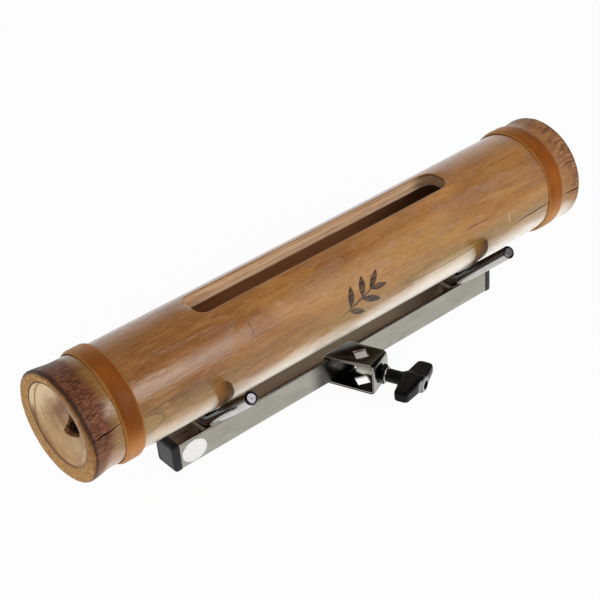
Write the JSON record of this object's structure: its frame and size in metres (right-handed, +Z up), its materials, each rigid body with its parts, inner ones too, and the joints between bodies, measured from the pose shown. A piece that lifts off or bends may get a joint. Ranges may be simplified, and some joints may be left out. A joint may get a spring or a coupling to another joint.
{
  "type": "slotted bamboo percussion tube",
  "caption": "Slotted bamboo percussion tube lying in bent-rod cradles on a square steel bar, with a wing-screw clamp that holds it to an upright post.",
  "frame": {"origin": "On the axis of the post that the clamp grips, at the underside of the clamp's lower plate", "axes": "+X along the bamboo from its near, open-dished end with the broken wall to its far end, +Y from the clamp towards the bar, +Z up through the slot's mouth"},
  "size_m": [0.4899, 0.1511, 0.1319],
  "materials": {
    "bamboo": "lacquered golden bamboo with brown streaks and scorched rims",
    "amber_rubber": "amber translucent rubber",
    "satin_nickel": "satin nickel plate",
    "cap_plastic": "dark grey moulded plastic",
    "rod_chrome": "mirror chrome",
    "black_nickel": "dark nickel plate with bright edges",
    "zinc": "bright zinc plate",
    "spacer_rubber": "dark matt rubber",
    "knob_plastic": "black satin moulded plastic"
  },
  "bodies": {
    "frame": {"bamboo_culm": "bamboo", "near_rubber_band": "amber_rubber", "far_rubber_band": "amber_rubber", "mount_bar": "satin_nickel", "near_end_cap": "cap_plastic", "far_end_cap": "cap_plastic", "near_cradle_rod": "rod_chrome", "far_cradle_rod": "rod_chrome", "near_culm_spacer": "spacer_rubber", "far_culm_spacer": "spacer_rubber", "near_culm_screw": "zinc", "far_culm_screw": "zinc", "near_culm_washer": "zinc", "far_culm_washer": "zinc", "clamp_bracket": "black_nickel", "clamp_nut": "black_nickel"},
    "clamp_carriage": {"clamp_washer": "zinc"},
    "clamp_screw": {"wing_screw_stud": "zinc", "wing_knob": "knob_plastic"}
  },
  "joints": [
    {"name": "clamp_travel", "type": "slide", "parent": "frame", "child": "clamp_carriage", "axis": [0.3584, -0.9336, 0], "range_m": [0, 0.0101]},
    {"name": "wing_turn", "type": "hinge", "parent": "clamp_carriage", "child": "clamp_screw", "pos_m": [0, 0, 0.014], "axis": [0.3584, -0.9336, 0], "range_deg": [0, 2880]}
  ],
  "couplings": [
    {"joint": "clamp_travel", "follows": "wing_turn", "m_per_rad": 0.00019894}
  ]
}
